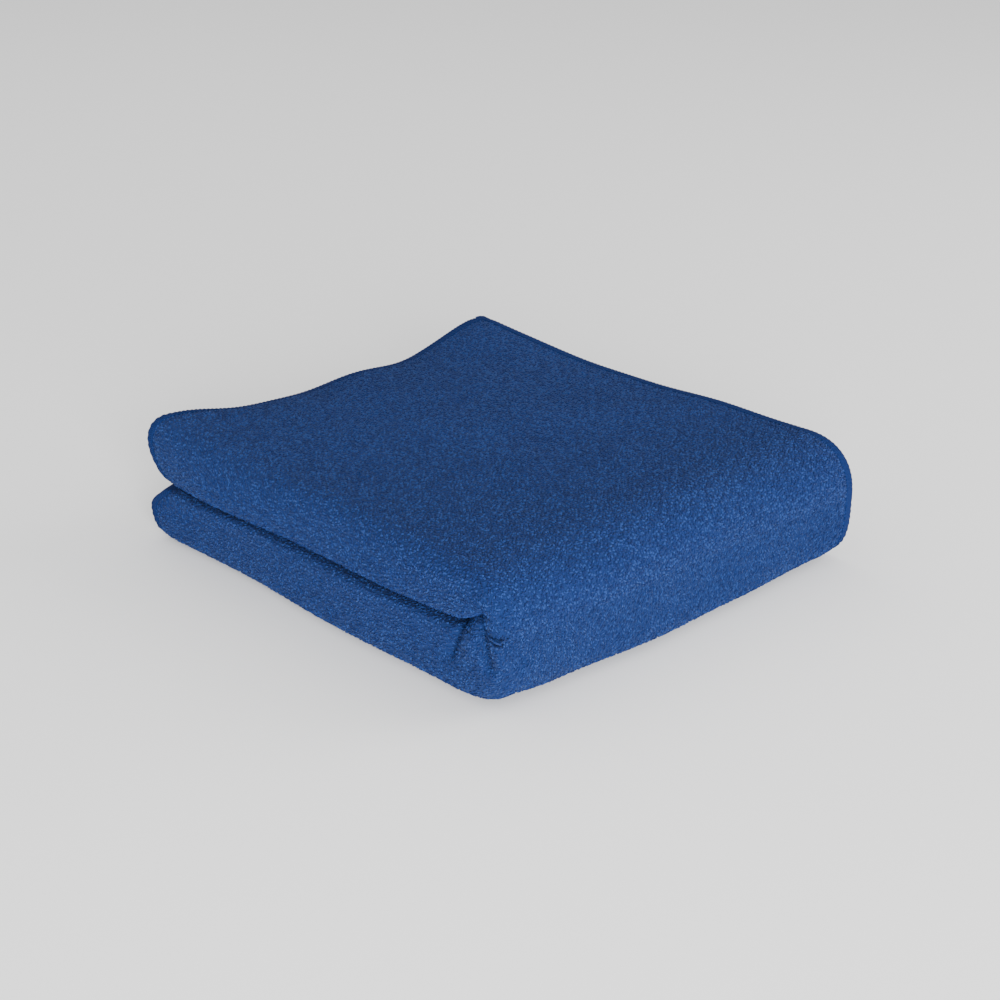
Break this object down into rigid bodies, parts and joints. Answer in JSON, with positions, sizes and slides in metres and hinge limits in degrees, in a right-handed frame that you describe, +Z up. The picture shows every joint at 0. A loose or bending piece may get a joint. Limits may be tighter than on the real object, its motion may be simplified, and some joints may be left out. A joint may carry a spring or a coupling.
{
  "type": "folded quick dry towel",
  "caption": "Folded blue quick-dry terry towel for travel: a soft flat packet that opens at its main fold, with plump side folds and overlocked edges.",
  "frame": {"origin": "under the middle of the folded packet, on the surface that it lies on", "axes": "+Z up through the plies, -Y to the main fold where the halves join, -X to the side folds, +Y to the long hems, +X to the short hems"},
  "size_m": [0.2306, 0.257, 0.0606],
  "materials": {
    "terry_cloth": "looped terry pile, matt with a faint sheen",
    "overlock_thread": "overlocked polyester thread in the colour of the cloth",
    "label_satin": "blank woven satin tape"
  },
  "bodies": {
    "lower_half": {"lower_outer_ply": "terry_cloth", "lower_second_ply": "terry_cloth", "lower_third_ply": "terry_cloth", "lower_inner_ply": "terry_cloth", "lower_outer_side_fold": "terry_cloth", "lower_inner_side_fold": "terry_cloth", "lower_end_fold": "terry_cloth", "lower_outer_short_hem": "overlock_thread", "lower_inner_short_hem": "overlock_thread", "lower_long_hem": "overlock_thread", "care_label": "label_satin"},
    "upper_half": {"upper_outer_ply": "terry_cloth", "upper_second_ply": "terry_cloth", "upper_third_ply": "terry_cloth", "upper_inner_ply": "terry_cloth", "upper_outer_side_fold": "terry_cloth", "upper_inner_side_fold": "terry_cloth", "upper_end_fold": "terry_cloth", "upper_outer_short_hem": "overlock_thread", "upper_inner_short_hem": "overlock_thread", "upper_long_hem": "overlock_thread"}
  },
  "joints": [
    {"name": "main_fold", "type": "hinge", "parent": "lower_half", "child": "upper_half", "pos_m": [0, -0.12852, 0.03451], "axis": [1, 0, 0], "range_deg": [0, 179.5]}
  ]
}
